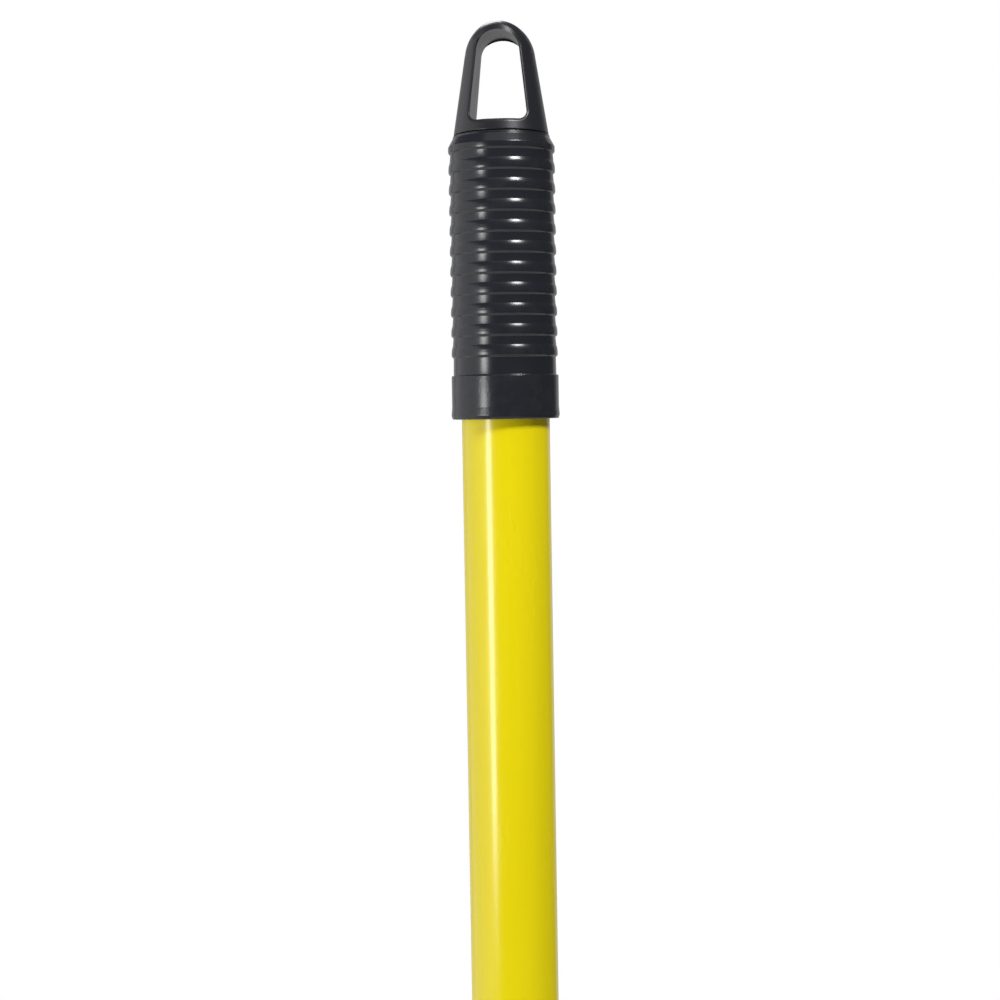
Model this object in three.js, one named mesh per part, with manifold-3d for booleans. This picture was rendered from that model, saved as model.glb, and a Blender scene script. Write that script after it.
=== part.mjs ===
// Roller extension pole: a two-section telescopic pole with a twist lock, a ribbed grip that ends in
// a hanging loop, and a screw tip for a paint roller frame.
// Millimetres, +Z up along the pole. The origin is the centre of the screw tip's end face.

import * as THREE from 'three';
import { mergeVertices } from 'three/addons/utils/BufferGeometryUtils.js';
import Module from 'manifold-3d';

const wasm = await Module();
wasm.setup();

// ---------------------------------------------------------------- driving dimensions

const overallLength = 650;
const clearance = 0.3;
const roundSegments = 36;
const gripSegments = 30;
const smallSegments = 24;

const outerTubeRadius = 12.5;
const innerTubeRadius = 10.5;
const tubeWall = 0.8;
const outerTubeBore = outerTubeRadius - tubeWall;
const innerTubeBore = innerTubeRadius - tubeWall;

const shank = { radius: 1.6, holeRadius: 1.95, headRadius: 3, headHeight: 0.9, seatRadius: 3.4 };

// Screw tip: the 3/4 inch, 5 threads per inch stud that roller frames screw onto.
const tip = {
  threadRadius: 9.525,
  threadRoot: 7.1,
  threadPitch: 5.08,
  threadStart: 1.2,
  threadEnd: 21.5,
  studLength: 24,
  endRadius: 6.4,
  spigotRadius: innerTubeBore - clearance,
  spigotTop: 54,
  coreRadius: 6.2,
  coreFloor: 32,
};

const ferrule = {
  radius: 12.4,
  faceRadius: 11.7,
  floorThickness: 2.7,
  top: 62,
  edge: 0.8,
  fluteDepth: 0.45,
  fluteCount: 12,
  fluteStart: 31,
  fluteEnd: 57,
  rivetHeight: 44,
  seatDistance: 11.75,
};

// Twist lock, from the collar's mouth up.
const lockPitch = 4;
const lockTravel = 3;
const collar = {
  bottom: 66,
  length: 42,
  radius: 17.2,
  fluteRadius: 16.4,
  fluteCount: 12,
  mouthRadius: 11,
  floorThickness: 5,
  chamberRadius: 14.35,
  skirtRadius: 15.25,
  threadStart: 80,
  threadEnd: 91,
  ringGrooveRadius: 16.1,
};
const wiper = { sectionRadius: 0.95, ringRadius: 11.8, grooveRadius: 13.05, grooveHeight: 2.5 };
const washer = { innerRadius: 11, outerRadius: 13.9, thickness: 1.5 };
const collet = {
  innerRadius: innerTubeRadius + clearance,
  flangeRadius: 13.6,
  flangeHeight: 3.4,
  baseRadius: 12.6,
  endRadius: 11.65,
  taperStart: 78,
  top: 92,
  slotCount: 6,
  slotWidth: 1.6,
};
const lockBody = {
  bottom: 79.5,
  mouthRadius: 12.95,
  coneEndRadius: 12,
  coneEnd: 93.5,
  webRadius: 11.1,
  threadRoot: 14,
  threadCrest: 14.9,
  threadStart: 81,
  threadEnd: 92,
  ridgeBottom: 95.6,
  ridgeTop: 97.2,
  neckRadius: 13.9,
  flangeHeight: 3,
  sleeveRadius: 14.8,
  sleeveTopRadius: 13.9,
  top: 146,
  rivetHeight: 128,
  seatDistance: 13.85,
};
const snapRing = { sectionRadius: 0.7, ringRadius: 15.1 };
const outerTubeBottom = 98;
const stopSleeve = {
  innerRadius: innerTubeRadius + clearance,
  outerRadius: outerTubeBore - clearance,
  top: 134,
};

// Grip and hanging loop, heights counted from the grip's bottom edge.
const grip = {
  bottom: 539,
  seam: 79.7,
  bandHeight: 12.3,
  bandRadius: 15.2,
  beadRadius: 15.4,
  beadHeight: 2.4,
  valleyRadius: 14.66,
  crestRadius: 15.1,
  ribCount: 11,
  ribPitch: 5.73,
  ribLand: 1.1,
  ribLowerFlank: 1.5,
  ribUpperFlank: 1,
  lowestRib: 18.5,
  shoulderRadius: 13.6,
};
const loop = {
  baseRadius: 13.45,
  halfAngle: THREE.MathUtils.degToRad(9.07),
  crownRadius: 9.95,
  crownRounding: 2.9,
  archAngle: THREE.MathUtils.degToRad(14),
  top: overallLength,
  spigotRadius: outerTubeBore - clearance,
  spigotLength: 28,
  spigotBore: 9.2,
  spigotCeiling: 2,
  barbHeight: 0.15,
  barbLength: 2,
  barbPitch: 6,
  barbCount: 3,
};
const loopHole = {
  bottom: 83.1,
  bottomHalfWidth: 7.95,
  cornerRadius: 2.2,
  archRadius: 6,
  archCentre: 102.6,
};

// Guide plug in the inner tube's upper end, with the two split rings that run in the outer tube.
const innerTubeTop = 566;
const guide = {
  spigotLength: 25,
  headRadius: 11.05,
  headLength: 22,
  grooveRadius: 9.6,
  grooveHeight: 4.6,
  grooveOffsets: [4.4, 17.6],
  boreRadius: 6,
  pinDepth: 12,
};
const glideRing = { innerRadius: 9.95, outerRadius: 11.4, height: 4, gap: 1.2 };
const springPin = { radius: 1.5, bore: 0.8, slot: 0.6, length: 20.4 };

// ---------------------------------------------------------------- materials

function material(color, roughness, metalness) {
  return new THREE.MeshStandardMaterial({ color, roughness, metalness });
}
const yellowPaint = material(0xe8d80a, 0.25, 0.1);
const zincedSteel = material(0xb4b7ba, 0.35, 0.9);
const loopPlastic = material(0x2b2c30, 0.45, 0);
const gripPlastic = material(0x26272b, 0.28, 0);
const lockPlastic = material(0x1d1e21, 0.38, 0);
const tipPlastic = material(0x232427, 0.4, 0);
const nylon = material(0xe6e2d6, 0.5, 0);
const acetal = material(0xd9d5c8, 0.4, 0);
const wiperRubber = material(0x17181a, 0.8, 0);
const brightSteel = material(0xc9ccd0, 0.3, 1);
const rivetAluminium = material(0xbfc2c5, 0.35, 0.9);

// ---------------------------------------------------------------- geometry helpers

// Merges shared vertices, drops the triangles that this collapses, and turns the faces outwards.
function closed(geometry) {
  geometry.deleteAttribute('normal');
  geometry.deleteAttribute('uv');
  const merged = mergeVertices(geometry, 1e-4);
  const source = merged.getIndex().array;
  const kept = [];
  for (let i = 0; i < source.length; i += 3) {
    const [a, b, c] = [source[i], source[i + 1], source[i + 2]];
    if (a !== b && b !== c && c !== a) kept.push(a, b, c);
  }
  if (signedVolume(merged, kept) < 0) kept.reverse();
  merged.setIndex(kept);
  return merged;
}

function signedVolume(geometry, index) {
  const position = geometry.getAttribute('position');
  const corner = [new THREE.Vector3(), new THREE.Vector3(), new THREE.Vector3()];
  let total = 0;
  for (let i = 0; i < index.length; i += 3) {
    corner.forEach((point, k) => point.fromBufferAttribute(position, index[i + k]));
    total += corner[0].dot(corner[1].cross(corner[2])) / 6;
  }
  return total;
}

// A solid of revolution about Z. A profile point is {r, z}, and its optional place(turn) gives the
// point's own {r, z} at a fraction of a turn, which is how threads and flutes are formed.
function turned(profile, segments = roundSegments) {
  const points = profile.map(({ r, z }) => new THREE.Vector2(r, z));
  const geometry = new THREE.LatheGeometry(points, segments);
  const position = geometry.getAttribute('position');
  profile.forEach((point, row) => {
    if (!point.place) return;
    for (let step = 0; step <= segments; step++) {
      const turn = step / segments;
      const { r, z } = point.place(turn);
      const angle = 2 * Math.PI * turn;
      position.setXYZ(step * profile.length + row, r * Math.sin(angle), z, r * Math.cos(angle));
    }
  });
  return closed(geometry.rotateX(Math.PI / 2));
}

function profileOf(...pairs) {
  return pairs.map(([r, z]) => ({ r, z }));
}

// Closes a ring's profile on its first point.
function ring(profile, segments) {
  return turned([...profile, profile[0]], segments);
}

function tube(innerRadius, outerRadius, bottom, top, segments) {
  const section = profileOf(
    [innerRadius, bottom],
    [outerRadius, bottom],
    [outerRadius, top],
    [innerRadius, top],
  );
  return ring(section, segments);
}

function wireRing(ringRadius, sectionRadius, height, sides = 6) {
  const section = [];
  for (let side = 0; side < sides; side++) {
    const angle = (2 * Math.PI * (side + 0.5)) / sides;
    const r = ringRadius + sectionRadius * Math.cos(angle);
    const z = height + sectionRadius * Math.sin(angle);
    section.push({ r, z });
  }
  return ring(section, smallSegments);
}

// The rows of a right-hand thread between two heights, fading into the root at both ends.
// Widths are fractions of the pitch, and phase shifts the ridge along the pole.
function threadRows({ start, end, pitch, root, crest, crestWidth, baseWidth, phase = 0 }) {
  const slope = (baseWidth - crestWidth) / 2;
  const corners = [
    { at: 0, height: 0 },
    { at: slope, height: 1 },
    { at: slope + crestWidth, height: 1 },
    { at: baseWidth, height: 0 },
  ];
  const fade = pitch / 3;
  const rows = [];
  const firstTurn = -2;
  const lastTurn = Math.ceil((end - start) / pitch) + 1;
  for (let turnCount = firstTurn; turnCount <= lastTurn; turnCount++) {
    for (const { at, height } of corners) {
      const place = (turn) => {
        const free = start + (turnCount + at + phase + turn) * pitch;
        const z = THREE.MathUtils.clamp(free, start, end);
        const strength = THREE.MathUtils.clamp(Math.min(z - start, end - z) / fade, 0, 1);
        return { r: root + (crest - root) * height * strength, z };
      };
      rows.push({ ...place(0), place });
    }
  }
  return rows;
}

// One row of a fluted surface: the radius swings between crest and valley round the turn.
function fluteRow(crest, valley, count, z) {
  const place = (turn) => {
    const swing = (1 + Math.cos(2 * Math.PI * count * turn)) / 2;
    return { r: valley + (crest - valley) * swing, z };
  };
  return { ...place(0), place };
}

function toSolid(geometry) {
  const vertProperties = new Float32Array(geometry.getAttribute('position').array);
  const triVerts = new Uint32Array(geometry.getIndex().array);
  return new wasm.Manifold(new wasm.Mesh({ numProp: 3, vertProperties, triVerts }));
}

function toGeometry(solid) {
  const { vertProperties, triVerts } = solid.getMesh();
  const geometry = new THREE.BufferGeometry();
  geometry.setAttribute('position', new THREE.BufferAttribute(new Float32Array(vertProperties), 3));
  geometry.setIndex(new THREE.BufferAttribute(new Uint32Array(triVerts), 1));
  return geometry;
}

function cut(geometry, ...tools) {
  const result = tools.reduce((solid, tool) => solid.subtract(toSolid(closed(tool))), toSolid(geometry));
  return toGeometry(result);
}

function join(geometry, ...others) {
  return toGeometry(others.reduce((solid, other) => solid.add(toSolid(other)), toSolid(geometry)));
}

// A rod along X, centred on the pole's axis at a height.
function crossRod(radius, fromX, toX, height, segments = 16) {
  const rod = new THREE.CylinderGeometry(radius, radius, toX - fromX, segments);
  return rod.rotateZ(Math.PI / 2).translate((fromX + toX) / 2, 0, height);
}

// Straight through both walls of whatever it is cut from.
function crossHole(radius, height) {
  return crossRod(radius, -collar.radius, collar.radius, height);
}

function rivetHoles(height) {
  return crossHole(shank.holeRadius, height);
}

// The flat seats that a pair of rivet heads sit on.
function rivetSeats(height, seatDistance) {
  return [-1, 1].map((side) => {
    const near = side * seatDistance;
    const far = side * (seatDistance + shank.seatRadius);
    return crossRod(shank.seatRadius, Math.min(near, far), Math.max(near, far), height, 20);
  });
}

// A domed rivet on the +X side, pointing outwards, or on the -X side when side is -1.
function rivet(side, innerEnd, seatDistance, height) {
  const base = seatDistance + 0.1;
  const dome = base + shank.headHeight;
  const profile = profileOf(
    [0, innerEnd],
    [shank.radius, innerEnd],
    [shank.radius, base],
    [shank.headRadius, base],
    [shank.headRadius * 0.9, base + shank.headHeight * 0.5],
    [shank.headRadius * 0.55, base + shank.headHeight * 0.9],
    [0, dome],
  );
  return turned(profile, 16).rotateY((side * Math.PI) / 2).translate(0, 0, height);
}

// ---------------------------------------------------------------- screw tip

function threadedTip() {
  const profile = [
    ...profileOf([0, 0], [tip.endRadius, 0], [tip.threadRoot, 0.7]),
    ...threadRows({
      start: tip.threadStart,
      end: tip.threadEnd,
      pitch: tip.threadPitch,
      root: tip.threadRoot,
      crest: tip.threadRadius,
      crestWidth: 0.37,
      baseWidth: 0.63,
    }),
    ...profileOf(
      [tip.spigotRadius, tip.threadEnd + 0.9],
      [tip.spigotRadius, tip.spigotTop],
      [tip.coreRadius, tip.spigotTop],
      [tip.coreRadius, tip.coreFloor],
      [0, tip.coreFloor],
    ),
  ];
  return cut(turned(profile, gripSegments), rivetHoles(ferrule.rivetHeight));
}

function tipFerrule() {
  const { radius, faceRadius, edge, fluteDepth, fluteCount, fluteStart, fluteEnd, top } = ferrule;
  const bottom = tip.studLength;
  const bore = innerTubeRadius + clearance;
  const valley = radius - fluteDepth;
  const floorHole = tip.threadRadius + clearance;
  const profile = [
    ...profileOf([floorHole, bottom], [faceRadius, bottom], [radius, bottom + edge], [radius, fluteStart]),
    fluteRow(radius, valley, fluteCount, fluteStart + 1),
    fluteRow(radius, valley, fluteCount, fluteEnd - 1),
    ...profileOf(
      [radius, fluteEnd],
      [radius, top - 2 * edge],
      [radius - edge, top],
      [bore, top],
      [bore, bottom + ferrule.floorThickness],
      [floorHole, bottom + ferrule.floorThickness],
    ),
  ];
  const seats = rivetSeats(ferrule.rivetHeight, ferrule.seatDistance);
  return cut(ring(profile, 3 * fluteCount), rivetHoles(ferrule.rivetHeight), ...seats);
}

function tipRivet(side) {
  return rivet(side, tip.coreRadius + 0.4, ferrule.seatDistance, ferrule.rivetHeight);
}

// ---------------------------------------------------------------- inner tube and guide

function innerTube() {
  const bottom = tip.studLength + ferrule.floorThickness + clearance;
  const pinHeight = innerTubeTop - guide.pinDepth;
  const pinHole = crossHole(springPin.radius + clearance, pinHeight);
  const blank = tube(innerTubeBore, innerTubeRadius, bottom, innerTubeTop);
  return cut(blank, rivetHoles(ferrule.rivetHeight), pinHole);
}

function guidePlug() {
  const spigotRadius = innerTubeBore - clearance;
  const spigotBottom = innerTubeTop - guide.spigotLength;
  const headBottom = innerTubeTop + clearance;
  const headTop = headBottom + guide.headLength;
  const grooves = guide.grooveOffsets.flatMap((offset) => {
    const low = headBottom + offset - guide.grooveHeight / 2;
    const high = low + guide.grooveHeight;
    return [
      [guide.headRadius, low],
      [guide.grooveRadius, low],
      [guide.grooveRadius, high],
      [guide.headRadius, high],
    ];
  });
  const profile = profileOf(
    [spigotRadius - 0.6, spigotBottom],
    [spigotRadius, spigotBottom + 1],
    [spigotRadius, headBottom],
    [guide.headRadius, headBottom],
    ...grooves,
    [guide.headRadius, headTop - 0.8],
    [guide.headRadius - 0.8, headTop],
    [guide.boreRadius, headTop],
    [guide.boreRadius, spigotBottom],
  );
  const pinHole = crossHole(springPin.radius + clearance, innerTubeTop - guide.pinDepth);
  return cut(ring(profile, smallSegments), pinHole);
}

function glideRingAt(offset) {
  const centre = innerTubeTop + clearance + offset;
  const { innerRadius, outerRadius, height, gap } = glideRing;
  const whole = tube(innerRadius, outerRadius, centre - height / 2, centre + height / 2, smallSegments);
  const split = new THREE.BoxGeometry(gap, 6, 2 * height).translate(0, outerRadius - 1, centre);
  return cut(whole, split);
}

function guidePlugPin() {
  const { radius, bore, slot, length } = springPin;
  const height = innerTubeTop - guide.pinDepth;
  const pin = closed(crossRod(radius, -length / 2, length / 2, height));
  const slotCut = new THREE.BoxGeometry(length + 2, slot, 2 * radius).translate(0, 0, height + radius);
  return cut(pin, crossRod(bore, -length, length, height, 12), slotCut);
}

// ---------------------------------------------------------------- twist lock

const collarFloor = collar.bottom + collar.floorThickness;
const wiperHeight = collar.bottom + collar.floorThickness / 2;
const washerBottom = collarFloor + clearance;
const colletBottom = washerBottom + washer.thickness + clearance;
const collarTop = collar.bottom + collar.length;
const snapRingHeight = lockBody.ridgeTop + lockTravel + clearance + snapRing.sectionRadius;

function lockCollar() {
  const { bottom, radius, fluteRadius, fluteCount, mouthRadius, skirtRadius, chamberRadius } = collar;
  const fluteStart = bottom + 4;
  const fluteEnd = collarTop - 11;
  const groove = snapRing.sectionRadius + clearance;
  const outside = [
    ...profileOf(
      [mouthRadius + 3, bottom],
      [radius - 1, bottom + 0.6],
      [radius, bottom + 2],
      [radius, fluteStart],
    ),
    fluteRow(radius, fluteRadius, fluteCount, fluteStart + 1.5),
    fluteRow(radius, fluteRadius, fluteCount, fluteEnd - 1.5),
    ...profileOf([radius, fluteEnd], [radius, collarTop - 0.6], [radius - 0.6, collarTop]),
  ];
  const thread = threadRows({
    start: collar.threadStart,
    end: collar.threadEnd,
    pitch: lockPitch,
    root: skirtRadius,
    crest: chamberRadius,
    crestWidth: 0.25,
    baseWidth: 0.475,
    phase: 0.75,
  });
  const inside = [
    ...profileOf(
      [skirtRadius, collarTop],
      [skirtRadius, snapRingHeight + groove],
      [collar.ringGrooveRadius, snapRingHeight + groove],
      [collar.ringGrooveRadius, snapRingHeight - groove],
      [skirtRadius, snapRingHeight - groove],
    ),
    ...thread.reverse(),
    ...profileOf(
      [chamberRadius, collar.threadStart - 1],
      [chamberRadius, collarFloor],
      [mouthRadius, collarFloor],
      [mouthRadius, wiperHeight + wiper.grooveHeight / 2],
      [wiper.grooveRadius, wiperHeight + wiper.grooveHeight / 2],
      [wiper.grooveRadius, wiperHeight - wiper.grooveHeight / 2],
      [mouthRadius, wiperHeight - wiper.grooveHeight / 2],
      [mouthRadius, bottom + 0.6],
      [mouthRadius + 0.6, bottom],
    ),
  ];
  return ring([...outside, ...inside], 3 * fluteCount);
}

function lockBodySleeve() {
  const flangeBottom = collarTop + 0.6;
  const flangeTop = flangeBottom + lockBody.flangeHeight;
  const bore = outerTubeRadius + clearance;
  const profile = [
    ...profileOf([lockBody.threadRoot - 0.4, lockBody.bottom], [lockBody.threadRoot, lockBody.bottom + 0.5]),
    ...threadRows({
      start: lockBody.threadStart,
      end: lockBody.threadEnd,
      pitch: lockPitch,
      root: lockBody.threadRoot,
      crest: lockBody.threadCrest,
      crestWidth: 0.25,
      baseWidth: 0.475,
    }),
    ...profileOf(
      [lockBody.threadRoot, lockBody.ridgeBottom - 0.6],
      [lockBody.threadCrest, lockBody.ridgeBottom],
      [lockBody.threadCrest, lockBody.ridgeTop],
      [lockBody.neckRadius, lockBody.ridgeTop],
      [lockBody.neckRadius, flangeBottom],
      [collar.radius - 0.4, flangeBottom],
      [collar.radius, flangeBottom + 0.5],
      [collar.radius, flangeTop - 0.8],
      [collar.radius - 0.8, flangeTop],
      [lockBody.sleeveRadius, flangeTop + 1],
      [lockBody.sleeveTopRadius, lockBody.top - 0.7],
      [lockBody.sleeveTopRadius - 0.6, lockBody.top],
      [bore, lockBody.top],
      [bore, outerTubeBottom - clearance],
      [lockBody.webRadius, outerTubeBottom - clearance],
      [lockBody.webRadius, lockBody.coneEnd],
      [lockBody.coneEndRadius, lockBody.coneEnd],
      [lockBody.mouthRadius, lockBody.bottom],
    ),
  ];
  const seats = rivetSeats(lockBody.rivetHeight, lockBody.seatDistance);
  return cut(ring(profile, 3 * collar.fluteCount), rivetHoles(lockBody.rivetHeight), ...seats);
}

function lockRivet(side) {
  return rivet(side, innerTubeRadius + clearance, lockBody.seatDistance, lockBody.rivetHeight);
}

function splitCollet() {
  const { innerRadius, flangeRadius, flangeHeight, baseRadius, endRadius, taperStart, top } = collet;
  const profile = profileOf(
    [innerRadius, colletBottom],
    [flangeRadius, colletBottom],
    [flangeRadius, colletBottom + flangeHeight],
    [baseRadius, colletBottom + flangeHeight],
    [baseRadius, taperStart],
    [endRadius, top],
    [innerRadius, top],
  );
  const slotBottom = colletBottom + flangeHeight + 1;
  const slots = [];
  for (let slot = 0; slot < collet.slotCount; slot++) {
    const slit = new THREE.BoxGeometry(collet.slotWidth, 8, top - slotBottom + 5);
    slit.translate(0, innerRadius + 2, (top + slotBottom + 5) / 2);
    slots.push(slit.rotateZ((2 * Math.PI * (slot + 0.5)) / collet.slotCount));
  }
  return cut(ring(profile), ...slots);
}

// ---------------------------------------------------------------- handle

function outerTube() {
  const top = grip.bottom + grip.seam - 0.4;
  const blank = tube(outerTubeBore, outerTubeRadius, outerTubeBottom, top);
  return cut(blank, rivetHoles(lockBody.rivetHeight));
}

function stopSleeveTube() {
  const bottom = outerTubeBottom + clearance;
  const blank = tube(stopSleeve.innerRadius, stopSleeve.outerRadius, bottom, stopSleeve.top);
  return cut(blank, rivetHoles(lockBody.rivetHeight));
}

// A rib has a narrow land, a short flank above it and a longer one below; the groove between two
// ribs is flat.
function ribProfile(centre) {
  const { ribLand, ribLowerFlank, ribUpperFlank, valleyRadius, crestRadius } = grip;
  const landBottom = centre - ribLand / 2;
  const landTop = centre + ribLand / 2;
  return [
    [valleyRadius, landBottom - ribLowerFlank],
    [crestRadius, landBottom],
    [crestRadius, landTop],
    [valleyRadius, landTop + ribUpperFlank],
  ];
}

function gripSleeve() {
  const { bottom, seam, bandHeight, bandRadius, beadRadius, beadHeight, valleyRadius } = grip;
  const bore = outerTubeRadius + clearance;
  const ribs = [];
  for (let rib = 0; rib < grip.ribCount; rib++) {
    ribs.push(...ribProfile(grip.lowestRib + rib * grip.ribPitch));
  }
  // The highest rib's upper flank is the sleeve's shoulder.
  ribs.pop();
  const heights = [
    [bore, 0],
    [beadRadius - 1, 0],
    [beadRadius, 1],
    [beadRadius, beadHeight],
    [bandRadius, beadHeight + 1.6],
    [bandRadius, bandHeight - 0.2],
    [valleyRadius, bandHeight],
    ...ribs,
    [grip.shoulderRadius, seam - 0.8],
    [grip.shoulderRadius - 0.2, seam],
    [bore, seam],
  ];
  return ring(profileOf(...heights.map(([r, height]) => [r, bottom + height])), gripSegments);
}

// The loop's outside before its hole is cut: a cone with a rounded top, trimmed to an arch as seen
// along the hole.
function loopBlank(base) {
  const { baseRadius, halfAngle, crownRounding, top } = loop;
  const taper = Math.tan(halfAngle);
  const rimRadius = baseRadius - taper * (top - base) - crownRounding;
  const rounding = new THREE.Path();
  rounding.absarc(rimRadius, top - crownRounding, crownRounding, halfAngle, Math.PI / 2, false);
  const arc = rounding.getPoints(4).map(({ x, y }) => ({ r: x, z: y }));
  const cone = turned([{ r: 0, z: base }, { r: baseRadius, z: base }, ...arc, { r: 0, z: top }], 48);

  const crownCentre = top - loop.crownRadius;
  const arch = new THREE.Shape();
  const foot = crownCentre - base + loop.crownRadius;
  const flare = foot * Math.tan(loop.archAngle) + loop.crownRadius / Math.cos(loop.archAngle);
  arch.moveTo(-flare, crownCentre - foot);
  arch.lineTo(flare, crownCentre - foot);
  arch.absarc(0, crownCentre, loop.crownRadius, loop.archAngle, Math.PI - loop.archAngle, false);
  arch.closePath();
  return toSolid(cone).intersect(toSolid(closed(alongHole(arch, 2 * baseRadius + 2))));
}

function loopHoleOutline() {
  const { bottomHalfWidth, cornerRadius, archRadius } = loopHole;
  const bottom = grip.bottom + loopHole.bottom;
  const centre = grip.bottom + loopHole.archCentre;
  const lean = Math.atan2(bottomHalfWidth - archRadius, centre - bottom);
  const outline = new THREE.Shape();
  const right = bottomHalfWidth - cornerRadius;
  outline.absarc(right, bottom + cornerRadius, cornerRadius, -Math.PI / 2, lean, false);
  outline.absarc(0, centre, archRadius, lean, Math.PI - lean, false);
  outline.absarc(-right, bottom + cornerRadius, cornerRadius, Math.PI - lean, 1.5 * Math.PI, false);
  outline.closePath();
  return outline;
}

// Extrudes an outline drawn in X and Z along Y, centred on the pole's axis.
function alongHole(outline, depth) {
  const block = new THREE.ExtrudeGeometry(outline, { depth, bevelEnabled: false, curveSegments: 8 });
  return block.rotateX(Math.PI / 2).translate(0, depth / 2, 0);
}

function hangerCap() {
  const base = grip.bottom + grip.seam + clearance;
  const hole = alongHole(loopHoleOutline(), 2 * loop.baseRadius + 2);
  const blank = toGeometry(loopBlank(base));
  return join(cut(blank, hole), hangerSpigot(base));
}

// The hollow plug under the loop, barbed where the outer tube grips it.
function hangerSpigot(base) {
  const { spigotRadius, spigotLength, spigotBore, spigotCeiling, barbLength } = loop;
  const bottom = base - spigotLength;
  const overlap = 1;
  const barbs = [];
  for (let barb = 0; barb < loop.barbCount; barb++) {
    const low = bottom + 2 * barbLength + barb * loop.barbPitch;
    barbs.push(
      [spigotRadius, low],
      [spigotRadius + loop.barbHeight, low + barbLength],
      [spigotRadius, low + barbLength + loop.barbHeight],
    );
  }
  const profile = profileOf(
    [spigotBore, bottom],
    [spigotRadius - 0.8, bottom],
    [spigotRadius, bottom + 2],
    ...barbs,
    [spigotRadius, base + overlap],
    [0, base + overlap],
    [0, base - spigotCeiling],
    [spigotBore, base - spigotCeiling],
  );
  return ring(profile, smallSegments);
}

// ---------------------------------------------------------------- assembly

function piece(name, geometry, look) {
  const mesh = new THREE.Mesh(geometry, look);
  mesh.name = name;
  return mesh;
}

function group(...pieces) {
  const holder = new THREE.Group();
  holder.add(...pieces);
  return holder;
}

const handle = group(
  piece('hanger_cap', hangerCap(), loopPlastic),
  piece('grip_sleeve', gripSleeve(), gripPlastic),
  piece('outer_tube', outerTube(), yellowPaint),
  piece('stop_sleeve', stopSleeveTube(), nylon),
  piece('lock_body', lockBodySleeve(), lockPlastic),
  piece('lock_rivet_left', lockRivet(-1), rivetAluminium),
  piece('lock_rivet_right', lockRivet(1), rivetAluminium),
);

const clampSet = group(
  piece('collet', splitCollet(), acetal),
  piece(
    'thrust_washer',
    tube(washer.innerRadius, washer.outerRadius, washerBottom, washerBottom + washer.thickness),
    brightSteel,
  ),
);

const collarSet = group(
  piece('lock_collar', lockCollar(), lockPlastic),
  piece('wiper_ring', wireRing(wiper.ringRadius, wiper.sectionRadius, wiperHeight), wiperRubber),
  piece(
    'collar_snap_ring',
    wireRing(snapRing.ringRadius, snapRing.sectionRadius, snapRingHeight),
    brightSteel,
  ),
);

const [lowerGroove, upperGroove] = guide.grooveOffsets;
const glideRings = group(
  piece('glide_ring_lower', glideRingAt(lowerGroove), nylon),
  piece('glide_ring_upper', glideRingAt(upperGroove), nylon),
);

const innerSection = group(
  piece('inner_tube', innerTube(), zincedSteel),
  piece('guide_plug', guidePlug(), acetal),
  piece('guide_plug_pin', guidePlugPin(), brightSteel),
  piece('tip_ferrule', tipFerrule(), tipPlastic),
  piece('threaded_tip', threadedTip(), tipPlastic),
  piece('tip_rivet_left', tipRivet(-1), rivetAluminium),
  piece('tip_rivet_right', tipRivet(1), rivetAluminium),
);

export default group(handle, clampSet, collarSet, glideRings, innerSection);
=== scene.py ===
import math

import bmesh
import bpy
from mathutils import Matrix, Vector


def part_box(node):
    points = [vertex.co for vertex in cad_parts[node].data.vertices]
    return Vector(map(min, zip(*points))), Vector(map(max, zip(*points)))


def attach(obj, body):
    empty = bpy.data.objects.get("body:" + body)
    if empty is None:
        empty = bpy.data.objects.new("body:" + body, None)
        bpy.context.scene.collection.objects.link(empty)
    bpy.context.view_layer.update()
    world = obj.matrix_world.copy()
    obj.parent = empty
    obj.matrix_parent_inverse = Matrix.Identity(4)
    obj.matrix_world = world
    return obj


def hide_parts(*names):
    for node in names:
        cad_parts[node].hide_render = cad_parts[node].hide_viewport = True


# Looks of the roller extension pole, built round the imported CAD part.
# Shapes are written in millimetres, in the part's own frame, and become metres when a mesh is made.

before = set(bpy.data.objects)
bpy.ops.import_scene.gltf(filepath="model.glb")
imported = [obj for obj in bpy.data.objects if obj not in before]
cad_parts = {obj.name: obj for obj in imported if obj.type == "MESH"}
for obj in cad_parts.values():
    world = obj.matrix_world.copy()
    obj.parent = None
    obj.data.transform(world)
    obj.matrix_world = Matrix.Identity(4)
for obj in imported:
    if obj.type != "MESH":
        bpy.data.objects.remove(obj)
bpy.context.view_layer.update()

MM = 0.001
CLEARANCE = 0.3
# Edges sharper than this many degrees are shaded as creases.
CREASE = 32
# Segments round a large and a small turned piece.
FINE = 192
COARSE = 96


# ---------------------------------------------------------------- sizes read from the CAD


def low(node):
    """The height of a node's bottom."""
    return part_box(node)[0].z / MM


def high(node):
    """The height of a node's top."""
    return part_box(node)[1].z / MM


def reach(node):
    """The outer radius of a round node."""
    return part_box(node)[1].y / MM


def inner_reach(node):
    """The smallest distance of a node's corners from the pole's axis."""
    return min(v.co.xy.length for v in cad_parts[node].data.vertices) / MM


def middle_height(node):
    return (low(node) + high(node)) / 2


# ---------------------------------------------------------------- curves and profiles


def ease(t):
    """0 to 1 with a level start and end."""
    return (1 - math.cos(math.pi * min(max(t, 0), 1))) / 2


def spread(start, end, steps):
    """Evenly spaced values from start to end, both included."""
    return [start + (end - start) * step / steps for step in range(steps + 1)]


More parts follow.
